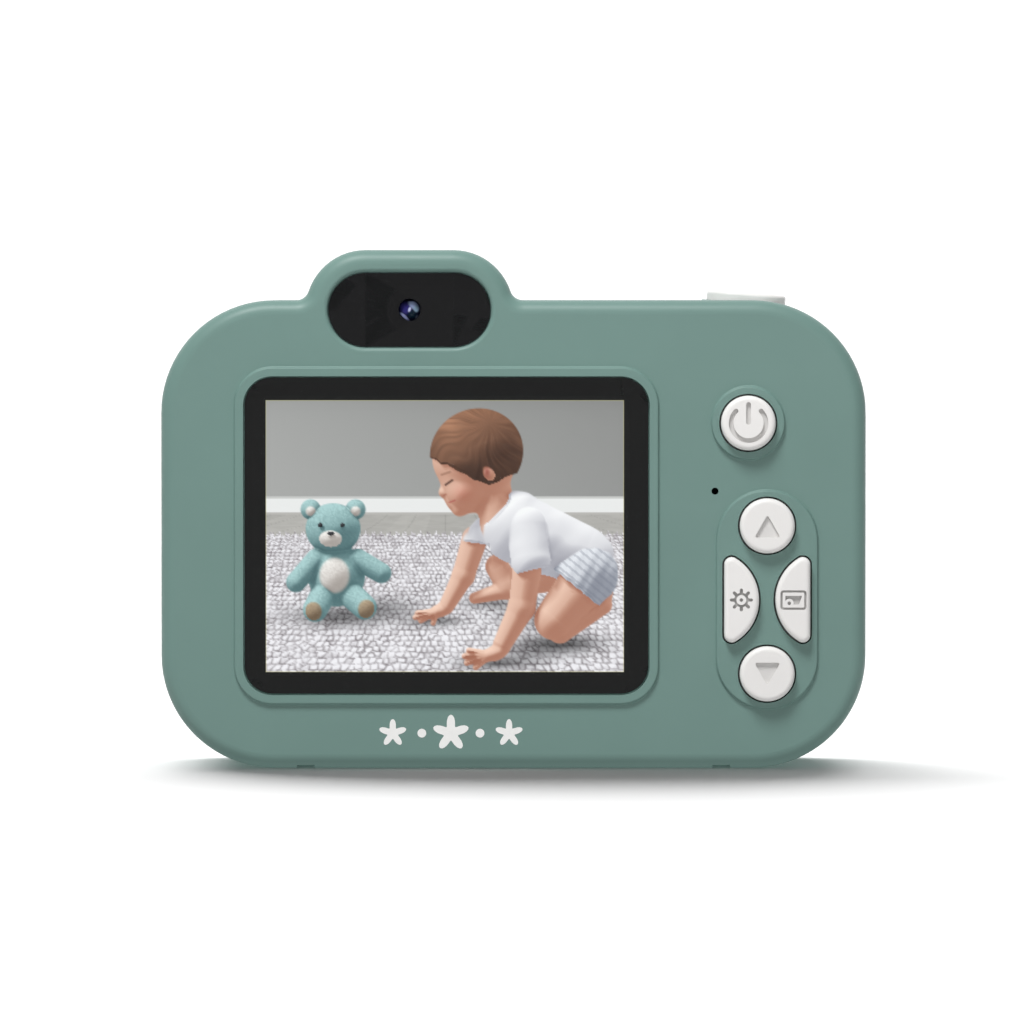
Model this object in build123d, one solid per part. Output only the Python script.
from build123d import *
import os
from math import cos, radians, sin, sqrt

# Kids digital camera. Millimetres. X to the right as seen from the screen side, +Y towards the
# lens side, +Z up. The origin is under the middle of the camera, on the ground.

# Housing
BODY_W = 80.0
BODY_H = 53.1
CORNER_R = 12.8
WALL = 2.0
REAR_Y = -16.9
SEAM_Y = -5.0
FRONT_Y = 9.1
REAR_EDGE_R = 1.6
FRONT_EDGE_R = 3.0
SEAM_CHAMFER = 0.2
BOSS_FOOT_R = 0.18
BOSS_EDGE_R = 0.2
REAR_IN_Y = REAR_Y + WALL
FRONT_IN_Y = FRONT_Y - WALL
TONGUE_Y = SEAM_Y + 1.55

# Hump on the top
HUMP_X = -11.8
HUMP_Z = 52.0
HUMP_HALF = 5.0
HUMP_R = 6.8
HUMP_ROOT_R = 1.5
HUMP_PAD = 0.8

# Pill windows in the hump
PILL_R = 4.2
PILL_SINK = 0.3
PILL_THICK = 0.8
TAPE_THICK = 0.15

# Screen
SCREEN_X = -7.6
SCREEN_Z = 26.4
WINDOW_W = 45.9
WINDOW_H = 36.0
WINDOW_R = 3.2
WINDOW_THICK = 1.2
RIM_W = 1.1
RIM_H = 0.4
RIM_SINK = 0.1
APERTURE_W = 41.9
APERTURE_H = 32.0
WINDOW_Y = REAR_Y - RIM_H + RIM_SINK
POCKET_Y = WINDOW_Y + WINDOW_THICK + TAPE_THICK

# LCD module
LCD_X0 = -31.2
LCD_X1 = 20.6
LCD_Z0 = 8.3
LCD_Z1 = 44.3
LCD_Y0 = -14.85
LCD_Y1 = -12.5
LCD_FLEX_Z = 21.0
LCD_FLEX_W = 14.0

# Keys on the rear
KEY_TOP_Y = -18.5
KEY_GAP = 0.2
KEY_EDGE_R = 0.55
FLANGE_GROW = 0.6
FLANGE_Y0 = REAR_IN_Y + 0.1
FLANGE_Y1 = FLANGE_Y0 + 0.7
ICON_DEPTH = 0.35
POWER_X = 26.6
POWER_Z = 39.2
POWER_R = 3.1
POWER_BOSS_R = 4.15
POWER_BOSS_H = 0.5
PAD_X = 28.75
PAD_Z = 19.17
PAD_W = 11.5
PAD_L = 24.8
PAD_H = 0.4
UP_Z = 27.55
DOWN_Z = 10.77
ROUND_R = 3.12
D_R = 5.5
D_OFFSET = 6.42
D_FLAT = 4.88
D_CORNER_R = 0.85
MIC_X = 22.85
MIC_Z = 31.46

# Switches: a square body on the board and a round plunger under the stem of the key
SWITCH_SIDE = 4.5
SWITCH_H = 1.5
PLUNGER_R = 1.0
PLUNGER_OUT = 0.6
PLUNGER_H = 1.2
PLUNGER_GAP = 0.1
STEM_R = 1.0

# Main board
BOARD_Y0 = -11.5
BOARD_Y1 = -10.3
BOARD_HALF_W = 36.0
BOARD_Z0 = 3.2
BOARD_Z1 = 49.9
BOARD_R = 9.0
SWITCH_TOP_Y = BOARD_Y0 - SWITCH_H
STEM_END_Y = SWITCH_TOP_Y - PLUNGER_OUT
POSTS = [(-34.5, 14.0), (-34.5, 40.0), (18.0, 47.8), (18.0, 5.0)]
POST_R = 2.2

# Case screws, put in from the lens side
CASE_X = 33.7
CASE_Z = [6.3, 45.9]
CASE_POINTS = [(side * CASE_X, z) for side in (-1, 1) for z in CASE_Z]
REAR_BOSS_R = 2.5
FRONT_BOSS_R = 3.1
SCREW_SEAT_Y = -1.0
COUNTERBORE_R = 2.1

# Shutter key on the top, on a surface that leans to the right
SHUTTER_LEAN = 4.5
SHUTTER_AT = (26.85, 1.5, 53.15)
SHUTTER_L = 9.1
SHUTTER_W = 7.0
SHUTTER_TOP = 0.8
COLLAR_L = 10.5
COLLAR_W = 8.4
COLLAR_TOP = -0.35
COLLAR_LOW = -2.9
LEAN = radians(SHUTTER_LEAN)
SHUTTER = Plane(
    origin=SHUTTER_AT,
    x_dir=(cos(LEAN), 0, -sin(LEAN)),
    z_dir=(sin(LEAN), 0, cos(LEAN)),
)
SHUTTER_FLANGE = [COLLAR_LOW - 0.7, COLLAR_LOW - 0.05]
SHUTTER_STEM_END = -4.2
SHUTTER_SWITCH_TOP = SHUTTER_STEM_END - PLUNGER_OUT
SHUTTER_BOARD_TOP = SHUTTER_SWITCH_TOP - SWITCH_H
SHUTTER_BOARD_THICK = 0.8
SHUTTER_POST_X = -7.4
SHUTTER_POST_Y = 2.5

# Lens on the front
LENS_X = -11.8
LENS_Z = 26.5
COLLAR_R = 21.0
COLLAR_H = 1.5
BARREL_R = 18.0
BARREL_IN_R = 16.4
BARREL_END_Y = 17.0
LENS_END_Y = 18.5
FLANGE_R = 20.9
LENS_FLOOR_Y = 5.7
LENS_SCREW_R = 19.7
GRIP_NOTCHES = 48
CAMERA_SIDE = 8.5

# Loudspeaker
SPEAKER_X = 26.5
SPEAKER_Z = 20.0
SPEAKER_R = 8.0
GRILLE_PITCH = 2.5
GRILLE_HOLE_R = 0.55

# USB-C port and its rubber cover on the right-hand side
PORT_Y = -8.7
PORT_Z = 32.0
USB_W = 8.94
USB_H = 3.2
COVER_X = 38.9
COVER_W = 6.3
COVER_L = 12.0
COVER_R = 1.5
ANCHOR_Z0 = 39.2
ANCHOR_Z1 = 41.0
ANCHOR_W = 3.0

# Memory card, below the port
CARD_Z = 19.0
CARD_W = 11.0
CARD_L = 15.0
CARD_THICK = 0.8
CARD_Y = -9.25
CARD_X1 = 39.6

# Battery on the lens side of the main board
BATTERY_X0 = -26.0
BATTERY_X1 = 14.0
BATTERY_Z0 = 9.0
BATTERY_Z1 = 39.0
BATTERY_THICK = 5.0

# Lanyard pin in a pocket on the left-hand side
PIN_X = -38.1
PIN_Y = 1.3
PIN_R = 0.9
PIN_Z = [24.6, 37.4]
LANYARD_Y = [-2.4, 5.0]
LANYARD_Z = [26.0, 36.0]
LANYARD_DEPTH = 5.0


# Small helpers


def block(x0, x1, y0, y1, z0, z1):
    """A box between the given limits."""
    middle = Pos((x0 + x1) / 2, (y0 + y1) / 2, (z0 + z1) / 2)
    return middle * Box(x1 - x0, y1 - y0, z1 - z0)


def along_y(sketch, y0, y1):
    """Extrudes a sketch drawn in X and Z between two heights of Y."""
    return extrude(Plane.XZ.offset(-y1) * sketch, amount=y1 - y0)


def along_x(sketch, x0, x1):
    """Extrudes a sketch drawn in Y and Z between two values of X."""
    return extrude(Plane.YZ.offset(x0) * sketch, amount=x1 - x0)


def on_shutter(sketch, low, high):
    """Extrudes a sketch along the direction the shutter key travels in."""
    return extrude(SHUTTER.offset(low) * sketch, amount=high - low)


def rod(x, z, radius, y0, y1):
    """A round rod along Y."""
    return along_y(Pos(x, z) * Circle(radius), y0, y1)


def turned(points, x, z):
    """Turns a profile of (radius, y) points about an axis along Y through x, z."""
    profile = Polygon(*points, align=None)
    return Pos(x, 0, z) * revolve(profile, Axis.Y)


def lead(points, bend, radius):
    """A round insulated wire along straight runs joined by tangent arcs."""
    path = FilletPolyline(*points, radius=bend)
    start = Plane(origin=path @ 0, z_dir=path % 0)
    return sweep(start * Circle(radius), path=path)


def ribbon(points, bend, across, width, thick):
    """A flat flexible ribbon; across is the direction of its width."""
    path = FilletPolyline(*points, radius=bend)
    start = Plane(origin=path @ 0, x_dir=across, z_dir=path % 0)
    return sweep(start * Rectangle(width, thick), path=path)


def screw(head_r, head_h, shank_r, length):
    """A pan-head screw along Z with its seat at the origin and its head above."""
    head = Pos(0, 0, head_h / 2) * Cylinder(head_r, head_h)
    head = fillet(head.edges().sort_by(Axis.Z)[-1], head_h * 0.4)
    slot = Box(head_r * 1.1, head_r * 0.28, head_h)
    cross = slot + Rot(0, 0, 90) * slot
    head -= Pos(0, 0, head_h * 1.05) * cross
    shank = Pos(0, 0, -length / 2) * Cylinder(shank_r, length)
    tip = shank.edges().sort_by(Axis.Z)[0]
    return head + chamfer(tip, shank_r * 0.4)


def save(name, shape):
    """Writes one node."""
    export_step(shape, "parts/" + name + ".step")


# Outlines


def outline(inset):
    """The camera seen from behind, with the hump, moved inwards by inset."""
    top = BODY_H - inset
    reach = sqrt((HUMP_R - inset) ** 2 - (top - HUMP_Z) ** 2) + HUMP_HALF
    size = (BODY_W - 2 * inset, BODY_H - 2 * inset)
    shape = Pos(0, BODY_H / 2) * RectangleRounded(*size, CORNER_R - inset)
    shape += Pos(HUMP_X, HUMP_Z) * SlotCenterToCenter(2 * HUMP_HALF, 2 * (HUMP_R - inset))
    roots = [
        v
        for v in shape.vertices()
        if abs(v.Y - top) < 0.01 and abs(abs(v.X - HUMP_X) - reach) < 0.01
    ]
    return fillet(roots, HUMP_ROOT_R + inset)


def pill(radius):
    """The shape of the hump windows."""
    return Pos(HUMP_X, HUMP_Z) * SlotCenterToCenter(2 * HUMP_HALF, 2 * radius)


def screen(width, height, radius):
    """A rounded rectangle round the middle of the screen window."""
    return Pos(SCREEN_X, SCREEN_Z) * RectangleRounded(width, height, radius)


def power_shape(grow):
    return Pos(POWER_X, POWER_Z) * Circle(POWER_R + grow)


def up_shape(grow):
    return Pos(PAD_X, UP_Z) * Circle(ROUND_R + grow)


def down_shape(grow):
    return Pos(PAD_X, DOWN_Z) * Circle(ROUND_R + grow)


def d_shape(side, grow):
    """A D-shaped key; side is -1 for the left one and 1 for the right one."""
    disc = Pos(PAD_X + side * D_OFFSET, PAD_Z) * Circle(D_R + grow)
    flat_x = PAD_X + side * (D_FLAT + grow)
    keep = Pos(flat_x - side * 10, PAD_Z) * Rectangle(20, 20)
    shape = disc & keep
    return fillet(shape.vertices(), D_CORNER_R + grow)


def settings_shape(grow):
    return d_shape(-1, grow)


def frame_shape(grow):
    return d_shape(1, grow)


# Icons sunk into the keys


def power_icon():
    """An open ring with round ends and an upright bar."""
    line = 0.53
    middle = 1.97
    gap = radians(46)
    ring = Circle(middle + line / 2) - Circle(middle - line / 2)
    ring -= Polygon((0, 0), (-3 * sin(gap), 3 * cos(gap)), (0, 4), (3 * sin(gap), 3 * cos(gap)), align=None)
    for side in (-1, 1):
        ring += Pos(side * middle * sin(gap), middle * cos(gap)) * Circle(line / 2)
    bar = Pos(0, 1.1) * SlotOverall(2.55, line, rotation=90)
    return Pos(POWER_X, POWER_Z) * (ring + bar)


def arrow_icon(z, turn):
    """A triangle that points up, or down when turned by 180 degrees."""
    shape = Polygon((-1.47, -1.3), (1.47, -1.3), (0, 1.3), align=None)
    return Pos(PAD_X, z) * Rot(0, 0, turn) * fillet(shape.vertices(), 0.18)


def gear_icon():
    shape = Circle(0.82)
    for step in range(8):
        shape += Rot(0, 0, 45 * step) * Pos(0.95, 0) * SlotOverall(0.7, 0.36)
    return Pos(PAD_X - 2.95, PAD_Z) * (shape - Circle(0.56) + Circle(0.2))


def picture_icon():
    shape = RectangleRounded(2.95, 2.2, 0.35) - RectangleRounded(2.45, 1.7, 0.15)
    ball = Pos(-0.48, -0.36)
    shape += Polygon((-0.92, -0.5), (0.62, -0.5), (0.98, 0.47), (-0.92, 0.47), align=None)
    shape -= ball * Circle(0.5)
    return Pos(PAD_X + 2.95, PAD_Z) * (shape + ball * Circle(0.2))


# Keys, switches and plungers


def switch_spots():
    """Where the five rear switches stand, in X and Z."""
    return {
        "power": (POWER_X, POWER_Z),
        "up": (PAD_X, UP_Z),
        "down": (PAD_X, DOWN_Z),
        "settings": (PAD_X - 3.15, PAD_Z),
        "frame": (PAD_X + 3.15, PAD_Z),
    }


def rear_key(shape, spot, icon):
    """A key cap with its retaining flange and the stem that meets the plunger."""
    cap = along_y(shape(0), KEY_TOP_Y, FLANGE_Y0)
    cap = fillet(cap.faces().sort_by(Axis.Y)[0].edges(), KEY_EDGE_R)
    cap -= along_y(icon, KEY_TOP_Y - 1, KEY_TOP_Y + ICON_DEPTH)
    flange = along_y(shape(FLANGE_GROW), FLANGE_Y0, FLANGE_Y1)
    stem = rod(*spot, STEM_R, FLANGE_Y1, STEM_END_Y)
    return cap + flange + stem


def switch_body(x, z):
    side = SWITCH_SIDE / 2
    body = block(x - side, x + side, SWITCH_TOP_Y, BOARD_Y0, z - side, z + side)
    body -= rod(x, z, PLUNGER_R + PLUNGER_GAP, SWITCH_TOP_Y - 1, BOARD_Y0 - 0.3)
    return body


def button_switches():
    return Compound(children=[switch_body(*spot) for spot in switch_spots().values()])


def plunger(spot):
    return rod(*spot, PLUNGER_R, STEM_END_Y, STEM_END_Y + PLUNGER_H)


def shutter_button():
    cap = on_shutter(SlotOverall(SHUTTER_L, SHUTTER_W), SHUTTER_FLANGE[1], SHUTTER_TOP)
    top = cap.faces().sort_by(Axis(SHUTTER_AT, SHUTTER.z_dir))[-1]
    cap = fillet(top.edges(), 0.42)
    flange_size = (SHUTTER_L + 1.2, SHUTTER_W + 1.2)
    flange = on_shutter(SlotOverall(*flange_size), *SHUTTER_FLANGE)
    return cap + flange + on_shutter(Circle(STEM_R), SHUTTER_STEM_END, SHUTTER_FLANGE[0])


def shutter_switch():
    body = on_shutter(Rectangle(SWITCH_SIDE, SWITCH_SIDE), SHUTTER_BOARD_TOP, SHUTTER_SWITCH_TOP)
    hole = Circle(PLUNGER_R + PLUNGER_GAP)
    return body - on_shutter(hole, SHUTTER_BOARD_TOP + 0.3, SHUTTER_SWITCH_TOP + 1)


def shutter_plunger():
    return on_shutter(Circle(PLUNGER_R), SHUTTER_STEM_END - PLUNGER_H, SHUTTER_STEM_END)


def shutter_post_spots():
    return [(SHUTTER_POST_X, side * SHUTTER_POST_Y) for side in (-1, 1)]


def shutter_board():
    low = SHUTTER_BOARD_TOP - SHUTTER_BOARD_THICK
    shape = Pos(-3.0, 0) * RectangleRounded(12.4, 7.6, 0.8)
    for spot in shutter_post_spots():
        shape -= Pos(*spot) * Circle(0.85)
    return on_shutter(shape, low, SHUTTER_BOARD_TOP)


def shutter_board_screws():
    under = SHUTTER.offset(SHUTTER_BOARD_TOP - SHUTTER_BOARD_THICK).location
    turn = Rot(180, 0, 0)
    one = screw(1.35, 0.8, 0.7, 3.2)
    return Compound(children=[under * Pos(*spot) * turn * one for spot in shutter_post_spots()])


# Housing


def tongue():
    """The inner half of the rear wall that reaches into the front cover."""
    ring = along_y(outline(WALL / 2 + 0.1) - outline(WALL), SEAM_Y - 0.5, TONGUE_Y)
    for x, z in CASE_POINTS:
        ring -= rod(x, z, FRONT_BOSS_R + 0.2, SEAM_Y, TONGUE_Y + 1)
    return ring


def raised(sketch, height):
    """Something that stands proud of the rear face with a soft edge."""
    shape = along_y(sketch, REAR_Y - height, REAR_Y + 0.5)
    return fillet(shape.faces().sort_by(Axis.Y)[0].edges(), BOSS_EDGE_R)


def rear_bosses():
    rim = (WINDOW_W + 2 * RIM_W, WINDOW_H + 2 * RIM_W, WINDOW_R + RIM_W)
    frame = raised(screen(*rim), RIM_H)
    power = raised(Pos(POWER_X, POWER_Z) * Circle(POWER_BOSS_R), POWER_BOSS_H)
    pad = raised(Pos(PAD_X, PAD_Z) * SlotOverall(PAD_L, PAD_W, rotation=90), PAD_H)
    return frame + power + pad


def rear_posts():
    posts = rod(*POSTS[0], POST_R, REAR_IN_Y - 0.1, BOARD_Y0)
    for spot in POSTS[1:]:
        posts += rod(*spot, POST_R, REAR_IN_Y - 0.1, BOARD_Y0)
    for spot in CASE_POINTS:
        posts += rod(*spot, REAR_BOSS_R, REAR_IN_Y - 0.1, SEAM_Y)
    return posts


def rear_ribs():
    """Low ribs that locate the LCD tray."""
    y0 = REAR_IN_Y - 0.1
    y1 = -13.3
    ribs = block(LCD_X0 - 0.9, LCD_X0 - 0.2, y0, y1, 17.0, 37.0)
    for x in (-22.0, 4.0):
        ribs += block(x, x + 9, y0, y1, LCD_Z0 - 0.9, LCD_Z0 - 0.2)
        ribs += block(x, x + 9, y0, y1, LCD_Z1 + 0.2, LCD_Z1 + 0.9)
    return ribs


def port_recess():
    """The pocket for the rubber cover and the mouths of the port and the card."""
    cover = Pos(PORT_Y, PORT_Z) * RectangleRounded(COVER_W + 0.3, COVER_L + 0.3, COVER_R + 0.15)
    cut = along_x(cover, COVER_X, BODY_W / 2 + 1)
    neck = (PORT_Y - ANCHOR_W / 2 - 0.1, PORT_Y + ANCHOR_W / 2 + 0.1)
    cut += block(COVER_X, BODY_W / 2 + 1, *neck, PORT_Z + 4, ANCHOR_Z1 + 0.1)
    mouth = Pos(PORT_Y, PORT_Z) * SlotOverall(USB_W + 0.7, USB_H + 0.6, rotation=90)
    cut += along_x(mouth, BODY_W / 2 - WALL - 1, BODY_W / 2)
    anchor = Pos(PORT_Y, (ANCHOR_Z0 + ANCHOR_Z1) / 2) * Circle(0.85)
    cut += along_x(anchor, BODY_W / 2 - WALL - 1, BODY_W / 2 - 0.5)
    half = CARD_W / 2 + 0.3
    card = (CARD_Y - 0.75, CARD_Y + 0.75, CARD_Z - half, CARD_Z + half)
    return cut + block(BODY_W / 2 - WALL - 1, BODY_W / 2 + 1, *card)


def rear_cover():
    cover = along_y(outline(0), REAR_Y, SEAM_Y)
    cover = fillet(cover.faces().sort_by(Axis.Y)[0].edges(), REAR_EDGE_R)
    cover = chamfer(cover.faces().sort_by(Axis.Y)[-1].edges(), SEAM_CHAMFER)
    cover += rear_bosses()
    rear_face = cover.faces().filter_by(lambda face: abs(face.center().Y - REAR_Y) < 0.001)[0]
    feet = [edge for wire in rear_face.inner_wires() for edge in wire.edges()]
    cover = fillet(feet, BOSS_FOOT_R)
    cover -= along_y(outline(WALL), REAR_IN_Y, SEAM_Y + 1)
    cover += along_y(pill(HUMP_R - WALL), REAR_IN_Y - 0.1, REAR_IN_Y + HUMP_PAD)
    cover += rear_posts() + rear_ribs() + tongue()
    cover -= along_y(screen(WINDOW_W + 0.2, WINDOW_H + 0.2, WINDOW_R + 0.1), REAR_Y - 2, POCKET_Y)
    cover -= along_y(screen(APERTURE_W, APERTURE_H, 0.8), REAR_Y - 2, REAR_IN_Y + 1)
    pill_floor = REAR_Y + PILL_SINK + PILL_THICK + TAPE_THICK
    cover -= along_y(pill(PILL_R + 0.08), REAR_Y - 2, pill_floor)
    cover -= rod(HUMP_X, HUMP_Z, 2.6, REAR_Y, REAR_IN_Y + 2)
    for shape in (power_shape, up_shape, down_shape, settings_shape, frame_shape):
        cover -= along_y(shape(KEY_GAP), REAR_Y - 2, REAR_IN_Y + 1)
    cover -= rod(MIC_X, MIC_Z, 0.4, REAR_Y - 2, REAR_IN_Y + 1)
    for x, z in POSTS:
        cover -= rod(x, z, 0.8, -14.3, BOARD_Y0 + 1)
    for x, z in CASE_POINTS:
        cover -= rod(x, z, 1.0, -12.0, SEAM_Y + 1)
    for x in (-23.6, 23.6):
        cover -= block(x - 1.0, x + 1.0, REAR_Y - 1, -12.5, -1, 0.35)
    cover -= port_recess()
    lip = [e for e in cover.edges() if on_pill_lip(e)]
    return fillet(lip, 0.5)


def on_pill_lip(edge):
    """True for the outer edge of the pill pocket."""
    centre = edge.center()
    box = edge.bounding_box()
    flat = abs(box.min.Y - REAR_Y) < 0.001 and abs(box.max.Y - REAR_Y) < 0.001
    near_x = abs(centre.X - HUMP_X) < HUMP_HALF + PILL_R + 0.3
    return flat and near_x and abs(centre.Z - HUMP_Z) < PILL_R + 0.3


def speaker_seat():
    ring = rod(SPEAKER_X, SPEAKER_Z, SPEAKER_R + 1.1, 4.5, FRONT_IN_Y + 0.1)
    return ring - rod(SPEAKER_X, SPEAKER_Z, SPEAKER_R + 0.2, 0, FRONT_IN_Y)


def grille():
    """Nineteen sound holes on a triangular grid."""
    holes = []
    for row in range(-2, 3):
        count = 5 - abs(row)
        for step in range(count):
            x = SPEAKER_X + (step - (count - 1) / 2) * GRILLE_PITCH
            z = SPEAKER_Z + row * GRILLE_PITCH * sqrt(3) / 2
            holes.append(rod(x, z, GRILLE_HOLE_R, FRONT_IN_Y - 1, FRONT_Y + 1))
    return holes


def lens_screw_spots():
    spots = []
    for angle in (90, 210, 330):
        turn = radians(angle)
        spots.append((LENS_X + LENS_SCREW_R * cos(turn), LENS_Z + LENS_SCREW_R * sin(turn)))
    return spots


def flash_stake_spots():
    return [(HUMP_X - 5.4, HUMP_Z), (HUMP_X + 5.4, HUMP_Z)]


def lanyard_pocket():
    """Solid walls round the lanyard pocket, before the pocket is cut."""
    low, high = PIN_Z
    return block(-BODY_W / 2 + 1.5, -33.8, LANYARD_Y[0] - 0.8, FRONT_IN_Y + 0.1, low - 1, high + 1)


def front_bosses():
    shape = lanyard_pocket()
    for spot in CASE_POINTS:
        shape += rod(*spot, FRONT_BOSS_R, SEAM_Y + 0.05, FRONT_IN_Y + 0.1)
    shape += along_y(pill(PILL_R + 0.1), FRONT_IN_Y - HUMP_PAD, FRONT_IN_Y + 0.1)
    for spot in flash_stake_spots():
        shape += rod(*spot, 1.3, 5.5, FRONT_IN_Y)
        shape += rod(*spot, 0.75, 4.4, FRONT_IN_Y)
    return shape


def shutter_collar():
    collar = on_shutter(SlotOverall(COLLAR_L, COLLAR_W), COLLAR_LOW, COLLAR_TOP)
    top = collar.faces().sort_by(Axis(SHUTTER_AT, SHUTTER.z_dir))[-1]
    collar = fillet(top.edges(), 0.3)
    for spot in shutter_post_spots():
        collar += on_shutter(Pos(*spot) * Circle(1.4), SHUTTER_BOARD_TOP, -1.6)
    return collar


def front_cover():
    cover = along_y(outline(0), SEAM_Y, FRONT_Y)
    cover = fillet(cover.faces().sort_by(Axis.Y)[-1].edges(), FRONT_EDGE_R)
    cover = chamfer(cover.faces().sort_by(Axis.Y)[0].edges(), SEAM_CHAMFER)
    cover -= along_y(outline(WALL), SEAM_Y - 1, FRONT_IN_Y)
    cover -= along_y(outline(WALL / 2), SEAM_Y - 1, TONGUE_Y + 0.15)
    collar = rod(LENS_X, LENS_Z, COLLAR_R, FRONT_Y - 0.5, FRONT_Y + COLLAR_H)
    cover += fillet(collar.faces().sort_by(Axis.Y)[-1].edges(), 0.8)
    cover += front_bosses() + speaker_seat() + shutter_collar()
    cover -= rod(LENS_X, LENS_Z, BARREL_R + 0.2, 0, FRONT_Y + 3)
    cover -= on_shutter(SlotOverall(SHUTTER_L + 0.4, SHUTTER_W + 0.4), -6, 2)
    for spot in shutter_post_spots():
        cover -= on_shutter(Pos(*spot) * Circle(0.75), SHUTTER_BOARD_TOP - 1, SHUTTER_BOARD_TOP + 3)
    cover -= along_y(pill(PILL_R + 0.08), FRONT_Y - PILL_SINK - PILL_THICK, FRONT_Y + 1)
    cover -= rod(HUMP_X, HUMP_Z, 2.6, 5.8, FRONT_Y)
    for hole in grille():
        cover -= hole
    for x, z in lens_screw_spots():
        cover -= rod(x, z, 0.8, 0, FRONT_Y + 0.4)
    for x, z in CASE_POINTS:
        cover -= rod(x, z, COUNTERBORE_R, SCREW_SEAT_Y, FRONT_Y + 1)
        cover -= rod(x, z, 1.15, SEAM_Y - 1, FRONT_Y)
    pocket_x = -BODY_W / 2 + LANYARD_DEPTH
    cover -= block(-BODY_W / 2 - 1, pocket_x, *LANYARD_Y, *LANYARD_Z)
    cover -= Pos(PIN_X, PIN_Y, sum(PIN_Z) / 2) * Cylinder(PIN_R + 0.03, PIN_Z[1] - PIN_Z[0] + 0.1)
    return cover


def case_screws():
    one = Rot(-90, 0, 0) * screw(1.9, 1.5, 0.93, 10.0)
    return Compound(children=[Pos(x, SCREW_SEAT_Y, z) * one for x, z in CASE_POINTS])


def lanyard_pin():
    return Pos(PIN_X, PIN_Y, sum(PIN_Z) / 2) * Cylinder(PIN_R, PIN_Z[1] - PIN_Z[0])


# Screen and hump windows


def screen_window():
    window = along_y(screen(WINDOW_W, WINDOW_H, WINDOW_R), WINDOW_Y, WINDOW_Y + WINDOW_THICK)
    return chamfer(window.faces().sort_by(Axis.Y)[0].edges(), 0.12)


def screen_window_tape():
    shape = screen(WINDOW_W - 0.1, WINDOW_H - 0.1, WINDOW_R - 0.05)
    shape -= screen(APERTURE_W - 0.4, APERTURE_H - 0.3, 0.6)
    return along_y(shape, WINDOW_Y + WINDOW_THICK, POCKET_Y)


def rear_lens_window():
    y0 = REAR_Y + PILL_SINK
    window = along_y(pill(PILL_R), y0, y0 + PILL_THICK)
    return chamfer(window.faces().sort_by(Axis.Y)[0].edges(), 0.1)


def rear_lens_tape():
    y0 = REAR_Y + PILL_SINK + PILL_THICK
    shape = pill(PILL_R - 0.02) - Pos(HUMP_X, HUMP_Z) * Circle(1.35)
    return along_y(shape, y0, y0 + TAPE_THICK)


def flash_window():
    y1 = FRONT_Y - PILL_SINK
    window = along_y(pill(PILL_R), y1 - PILL_THICK, y1)
    return chamfer(window.faces().sort_by(Axis.Y)[-1].edges(), 0.1)


def lcd_panel():
    z_edge = 0.7
    return block(LCD_X0 + 1, LCD_X1 - 1, LCD_Y0, -13.55, LCD_Z0 + z_edge, LCD_Z1 - z_edge)


def lcd_frame():
    tray = block(LCD_X0, LCD_X1, LCD_Y0 + 0.25, LCD_Y1, LCD_Z0, LCD_Z1)
    tray = fillet(tray.edges().filter_by(Axis.Y), 0.8)
    tray -= block(LCD_X0 + 0.9, LCD_X1 - 0.9, -16, -13.5, LCD_Z0 + 0.6, LCD_Z1 - 0.6)
    half = LCD_FLEX_W / 2 + 0.2
    return tray - block(LCD_X1 - 2, LCD_X1 + 1, -16, -13.5, LCD_FLEX_Z - half, LCD_FLEX_Z + half)


def lcd_flex():
    z = LCD_FLEX_Z
    points = [(LCD_X1 - 1, -14.0, z), (22.0, -14.0, z), (22.0, -11.65, z), (10.0, -11.65, z)]
    return ribbon(points, 1.1, (0, 0, 1), LCD_FLEX_W, 0.15)


# Boards and what is on them


def main_board():
    height = BOARD_Z1 - BOARD_Z0
    shape = RectangleRounded(2 * BOARD_HALF_W, height, BOARD_R)
    shape = Pos(0, (BOARD_Z0 + BOARD_Z1) / 2) * shape
    for spot in CASE_POINTS:
        shape -= Pos(*spot) * Circle(FRONT_BOSS_R + 0.3)
    for spot in POSTS:
        shape -= Pos(*spot) * Circle(0.9)
    return along_y(shape, BOARD_Y0, BOARD_Y1)


def board_screws():
    one = Rot(-90, 0, 0) * screw(1.7, 1.1, 0.73, 3.6)
    return Compound(children=[Pos(x, BOARD_Y1, z) * one for x, z in POSTS])


def board_chips():
    """The processor and the memory chip below it."""
    processor = block(20.0, 28.0, BOARD_Y1, BOARD_Y1 + 0.9, 37.5, 45.5)
    memory = block(20.6, 26.6, BOARD_Y1, BOARD_Y1 + 0.8, 31.4, 36.0)
    return Compound(children=[processor, memory])


def board_connectors():
    """Sockets for the battery leads and the two camera ribbons."""
    battery = block(19.0, 23.2, BOARD_Y1, BOARD_Y1 + 3.2, 26.3, 30.1)
    camera = block(LENS_X - 4, LENS_X + 4, BOARD_Y1, -8.8, 41.3, 43.7)
    selfie = block(HUMP_X - 3.2, HUMP_X + 3.2, BOARD_Y1, -8.8, 44.8, 47.2)
    return Compound(children=[battery, camera, selfie])


def microphone():
    return rod(MIC_X, MIC_Z, 2.0, -13.5, BOARD_Y0)


def microphone_boot():
    return rod(MIC_X, MIC_Z, 2.0, REAR_IN_Y, -13.5) - rod(MIC_X, MIC_Z, 0.6, -16, -13)


def usb_connector():
    shape = Pos(PORT_Y, PORT_Z) * SlotOverall(USB_W, USB_H, rotation=90)
    bore = Pos(PORT_Y, PORT_Z) * SlotOverall(USB_W - 0.6, USB_H - 0.6, rotation=90)
    shell = along_x(shape, 31.2, 37.6) - along_x(bore, 32.2, 38.6)
    half = USB_W / 2 - 1.1
    tongue_y = (PORT_Y - 0.35, PORT_Y + 0.35)
    return shell + block(32.0, 37.0, *tongue_y, PORT_Z - half, PORT_Z + half)


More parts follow.
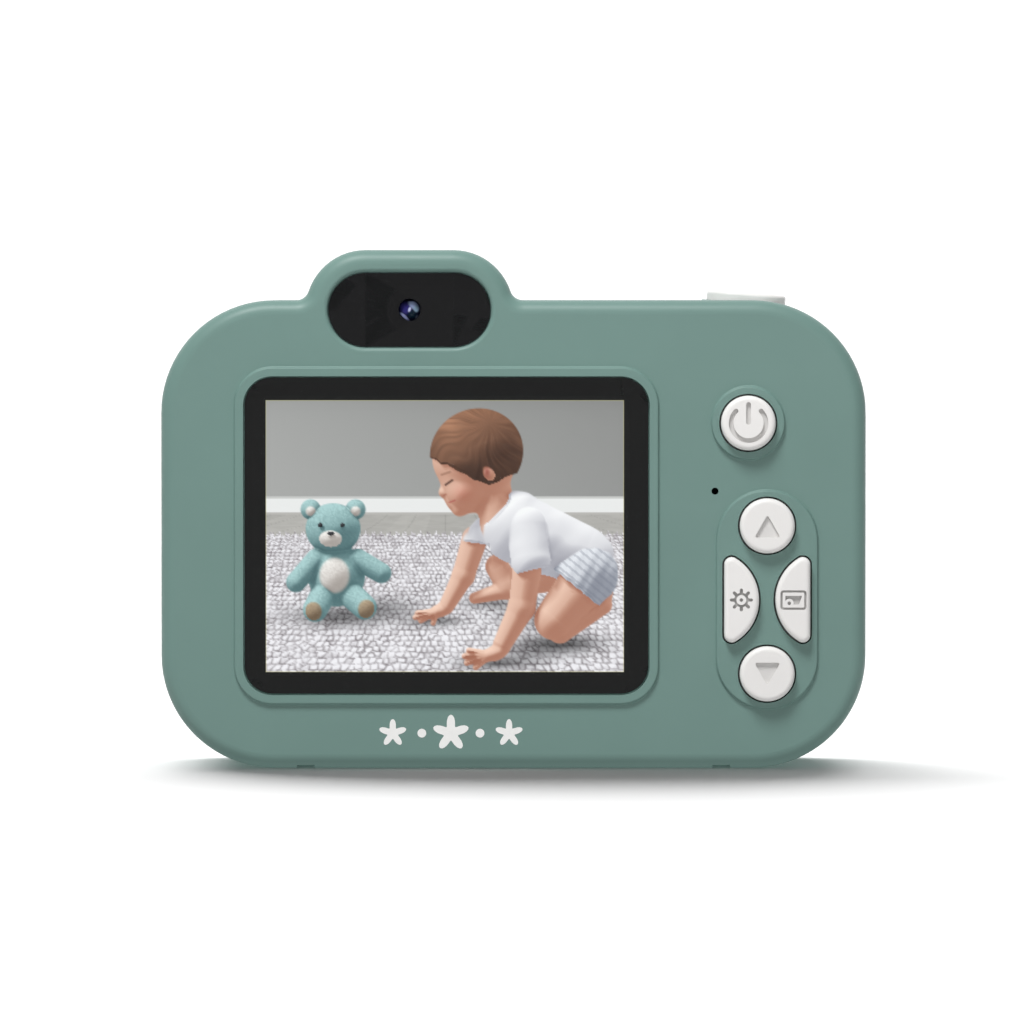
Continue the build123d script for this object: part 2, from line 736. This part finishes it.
def port_cover():
    plate = Pos(PORT_Y, PORT_Z) * RectangleRounded(COVER_W, COVER_L, COVER_R)
    plate = along_x(plate, COVER_X + 0.05, BODY_W / 2)
    plate = fillet(plate.faces().sort_by(Axis.X)[-1].edges(), 0.3)
    plug = Pos(PORT_Y, PORT_Z) * SlotOverall(USB_W - 0.1, USB_H, rotation=90)
    plug = along_x(plug, BODY_W / 2 - WALL - 0.1, COVER_X + 0.1)
    plug -= block(30, COVER_X, PORT_Y - 0.7, PORT_Y + 0.7, PORT_Z - 3.2, PORT_Z + 3.2)
    nail = block(BODY_W / 2 - 0.35, 41, PORT_Y - 1.6, PORT_Y + 1.6, 26.7, 27.3)
    return plate + plug - nail


def port_cover_anchor():
    half = ANCHOR_W / 2
    z = (ANCHOR_Z0 + ANCHOR_Z1) / 2
    pad = block(COVER_X, BODY_W / 2 - 0.1, PORT_Y - half, PORT_Y + half, ANCHOR_Z0, ANCHOR_Z1)
    pin = along_x(Pos(PORT_Y, z) * Circle(0.75), 37.6, COVER_X + 0.1)
    barb = along_x(Pos(PORT_Y, z) * Circle(1.2), 37.1, 37.9)
    return pad + pin + barb


def card_socket():
    half = CARD_W / 2 + 0.9
    body = block(22.6, 36.9, BOARD_Y1, BOARD_Y1 + 2.0, CARD_Z - half, CARD_Z + half)
    gap = CARD_THICK / 2 + 0.15
    slot = (CARD_Z - CARD_W / 2 - 0.2, CARD_Z + CARD_W / 2 + 0.2)
    return body - block(24.2, 38, CARD_Y - gap, CARD_Y + gap, *slot)


def memory_card():
    x0 = CARD_X1 - CARD_L
    low = CARD_Z - CARD_W / 2
    high = CARD_Z + CARD_W / 2
    edge = [(x0, low), (CARD_X1, low), (CARD_X1, high), (31.5, high), (30.9, high - 0.7)]
    edge += [(29.5, high - 0.7), (28.0, high - 1.6), (x0, high - 1.6)]
    card = along_y(Polygon(*edge, align=None), CARD_Y - CARD_THICK / 2, CARD_Y + CARD_THICK / 2)
    return card


# Battery, loudspeaker and leads


def battery():
    y0 = BOARD_Y1 + 0.2
    cell = block(BATTERY_X0, BATTERY_X1, y0, y0 + BATTERY_THICK, BATTERY_Z0, BATTERY_Z1)
    return fillet(cell.edges().filter_by(Axis.Z), 1.6)


def battery_tape():
    limits = (BATTERY_X0 + 4, BATTERY_X1 - 4, BOARD_Y1, BOARD_Y1 + 0.2)
    return block(*limits, BATTERY_Z0 + 4, BATTERY_Z1 - 4)


def battery_lead_red():
    points = [(14, -8.4, 34.0), (16.8, -8.4, 34.0), (16.8, -8.4, 29.0), (19, -8.4, 29.0)]
    return lead(points, 0.9, 0.5)


def battery_lead_black():
    points = [(14, -8.4, 32.4), (15.4, -8.4, 32.4), (15.4, -8.4, 27.4), (19, -8.4, 27.4)]
    return lead(points, 0.9, 0.5)


def speaker():
    x, z = SPEAKER_X, SPEAKER_Z
    body = rod(x, z, SPEAKER_R, 4.6, 6.9) + rod(x, z, 5.6, 3.3, 4.6)
    return body - (rod(x, z, 6.8, 6.4, 8) - rod(x, z, 2.6, 6.2, 6.8))


def speaker_leads():
    wires = []
    for x in (24.4, 28.6):
        points = [(x, 4.6, 13.6), (x, -2.0, 13.6), (x, -2.0, 9.0), (x, BOARD_Y1, 9.0)]
        wires.append(lead(points, 1.4, 0.4))
    return Compound(children=wires)


def shutter_leads():
    wires = []
    for x in (18.3, 19.3):
        start = SHUTTER.from_local_coords((x - SHUTTER_AT[0], 0, -7.15))
        top = (x, start.Y, start.Z)
        points = [top, (x, start.Y, 43.5), (x, BOARD_Y1, 43.5)]
        wires.append(lead(points, 1.4, 0.4))
    return Compound(children=wires)


# Lens


def grip_ring():
    """A band of small grooves round the barrel."""
    shape = Circle(BARREL_R) - Circle(BARREL_IN_R + 0.6)
    for step in range(GRIP_NOTCHES):
        notch = Pos(BARREL_R + 0.15, 0) * Circle(0.45)
        shape -= Rot(0, 0, step * 360 / GRIP_NOTCHES) * notch
    return along_y(Pos(LENS_X, LENS_Z) * shape, 12.2, 16.2)


def lens_barrel():
    slim = BARREL_R - 0.4
    profile = [
        (3.4, LENS_FLOOR_Y),
        (FLANGE_R, LENS_FLOOR_Y),
        (FLANGE_R, FRONT_IN_Y),
        (BARREL_R, FRONT_IN_Y),
        (BARREL_R, 12.0),
        (slim, 12.2),
        (slim, 16.2),
        (BARREL_R, 16.4),
        (BARREL_R, BARREL_END_Y),
        (BARREL_IN_R, BARREL_END_Y),
        (BARREL_IN_R, FRONT_IN_Y),
        (3.4, FRONT_IN_Y),
    ]
    barrel = turned(profile, LENS_X, LENS_Z) + grip_ring()
    half = CAMERA_SIDE / 2 + 0.15
    wall = half + 1.2
    box = block(LENS_X - wall, LENS_X + wall, 2.4, LENS_FLOOR_Y + 0.1, LENS_Z - wall, LENS_Z + wall)
    box -= block(LENS_X - half, LENS_X + half, 2, LENS_FLOOR_Y, LENS_Z - half, LENS_Z + half)
    barrel += box - rod(LENS_X, LENS_Z, 3.4, 0, 7)
    for x, z in lens_screw_spots():
        barrel -= rod(x, z, 0.85, 0, 9)
    return barrel


def lens_screws():
    one = Rot(90, 0, 0) * screw(1.3, 1.0, 0.73, 3.6)
    return Compound(children=[Pos(x, LENS_FLOOR_Y, z) * one for x, z in lens_screw_spots()])


def lens_trim_ring():
    profile = [(15.2, 16.65), (16.2, 16.65), (16.2, 17.05), (BARREL_R, 17.05), (BARREL_R, 18.0)]
    profile += [(17.4, LENS_END_Y), (16.0, LENS_END_Y), (15.2, 17.6)]
    return turned(profile, LENS_X, LENS_Z)


def lens_window():
    return rod(LENS_X, LENS_Z, 16.2, 15.45, 16.6)


def lens_baffle():
    """A stepped funnel that leads the eye down to the small real lens."""
    radii = [14.6, 12.2, 9.8, 7.2, 4.4]
    steps = [15.4, 13.6, 12.0, 10.6, 9.4]
    profile = [(15.0, 7.2), (16.2, 7.2), (16.2, steps[0])]
    for radius, high, low in zip(radii, steps, steps[1:] + [7.2]):
        profile += [(radius, high), (radius, low)]
    under = [(5.5, 7.2), (5.5, 8.2), (8.3, 8.2), (8.3, 9.4), (10.9, 9.4), (10.9, 10.8)]
    under += [(13.3, 10.8), (13.3, 12.4), (15.0, 12.4)]
    return turned(profile + under, LENS_X, LENS_Z)


def camera_module():
    half = CAMERA_SIDE / 2
    body = block(LENS_X - half, LENS_X + half, 2.4, 5.65, LENS_Z - half, LENS_Z + half)
    tube = rod(LENS_X, LENS_Z, 3.2, 5.6, 8.4) - rod(LENS_X, LENS_Z, 2.4, 7.9, 9)
    return body + tube


def glass_cap(x, z, radius, y, way):
    """A small domed lens whose flat side is at y; way is the direction it bulges in."""
    bulge = radius * 0.3
    ball = (radius**2 + bulge**2) / (2 * bulge)
    base = (y, y + way * (bulge + 0.2))
    disc = rod(x, z, radius, min(base), max(base))
    centre = y + way * (bulge + 0.2 - ball)
    return disc & (Pos(x, centre, z) * Sphere(ball))


def camera_lens():
    return glass_cap(LENS_X, LENS_Z, 2.35, 7.9, 1)


def camera_flex():
    half = CAMERA_SIDE / 2
    plate = block(LENS_X - half, LENS_X + half, 2.1, 2.4, LENS_Z - half, LENS_Z + half)
    points = [(LENS_X, 2.0, LENS_Z - 3), (LENS_X, 2.0, 42.5), (LENS_X, -8.8, 42.5)]
    return plate + ribbon(points, 2.0, (1, 0, 0), 6.0, 0.2)


def selfie_module():
    half = 3.25
    body = block(HUMP_X - half, HUMP_X + half, -14.1, -11.7, HUMP_Z - half, HUMP_Z + half)
    tube = rod(HUMP_X, HUMP_Z, 2.3, -15.1, -14.0) - rod(HUMP_X, HUMP_Z, 1.3, -16, -14.8)
    return body + tube


def selfie_lens():
    return glass_cap(HUMP_X, HUMP_Z, 1.22, -14.8, -1)


def selfie_flex():
    points = [(HUMP_X, -11.7, HUMP_Z), (HUMP_X, -9.6, HUMP_Z), (HUMP_X, -9.6, 47.2)]
    return ribbon(points, 0.8, (1, 0, 0), 4.5, 0.2)


def flash_board():
    shape = Pos(HUMP_X, HUMP_Z) * RectangleRounded(14.0, 5.6, 0.8)
    for spot in flash_stake_spots():
        shape -= Pos(*spot) * Circle(0.85)
    return along_y(shape, 4.7, 5.5)


def flash_led():
    return block(HUMP_X - 1.75, HUMP_X + 1.75, 5.5, 6.2, HUMP_Z - 1.4, HUMP_Z + 1.4)


def flash_leads():
    wires = []
    for x in (-6.1, -7.5):
        points = [(x, 4.7, 50.4), (x, -6.4, 50.4), (x, -6.4, 46.6), (x, BOARD_Y1, 46.6)]
        wires.append(lead(points, 1.2, 0.4))
    return Compound(children=wires)


def main():
    os.makedirs("parts", exist_ok=True)
    spots = switch_spots()
    save("rear_cover", rear_cover())
    save("front_cover", front_cover())
    save("case_screws", case_screws())
    save("lanyard_pin", lanyard_pin())
    save("screen_window", screen_window())
    save("screen_window_tape", screen_window_tape())
    save("rear_lens_window", rear_lens_window())
    save("rear_lens_tape", rear_lens_tape())
    save("lcd_panel", lcd_panel())
    save("lcd_frame", lcd_frame())
    save("lcd_flex", lcd_flex())
    save("power_button", rear_key(power_shape, spots["power"], power_icon()))
    save("up_button", rear_key(up_shape, spots["up"], arrow_icon(UP_Z, 0)))
    save("down_button", rear_key(down_shape, spots["down"], arrow_icon(DOWN_Z, 180)))
    save("settings_button", rear_key(settings_shape, spots["settings"], gear_icon()))
    save("frame_button", rear_key(frame_shape, spots["frame"], picture_icon()))
    save("button_switches", button_switches())
    for name, spot in spots.items():
        save(name + "_plunger", plunger(spot))
    save("shutter_button", shutter_button())
    save("shutter_switch", shutter_switch())
    save("shutter_plunger", shutter_plunger())
    save("shutter_board", shutter_board())
    save("shutter_board_screws", shutter_board_screws())
    save("shutter_leads", shutter_leads())
    save("main_board", main_board())
    save("board_screws", board_screws())
    save("board_chips", board_chips())
    save("board_connectors", board_connectors())
    save("microphone", microphone())
    save("microphone_boot", microphone_boot())
    save("usb_connector", usb_connector())
    save("port_cover", port_cover())
    save("port_cover_anchor", port_cover_anchor())
    save("card_socket", card_socket())
    save("memory_card", memory_card())
    save("battery", battery())
    save("battery_tape", battery_tape())
    save("battery_lead_red", battery_lead_red())
    save("battery_lead_black", battery_lead_black())
    save("speaker", speaker())
    save("speaker_leads", speaker_leads())
    save("lens_barrel", lens_barrel())
    save("lens_screws", lens_screws())
    save("lens_trim_ring", lens_trim_ring())
    save("lens_window", lens_window())
    save("lens_baffle", lens_baffle())
    save("camera_module", camera_module())
    save("camera_lens", camera_lens())
    save("camera_flex", camera_flex())
    save("selfie_module", selfie_module())
    save("selfie_lens", selfie_lens())
    save("selfie_flex", selfie_flex())
    save("flash_window", flash_window())
    save("flash_board", flash_board())
    save("flash_led", flash_led())
    save("flash_leads", flash_leads())


main()
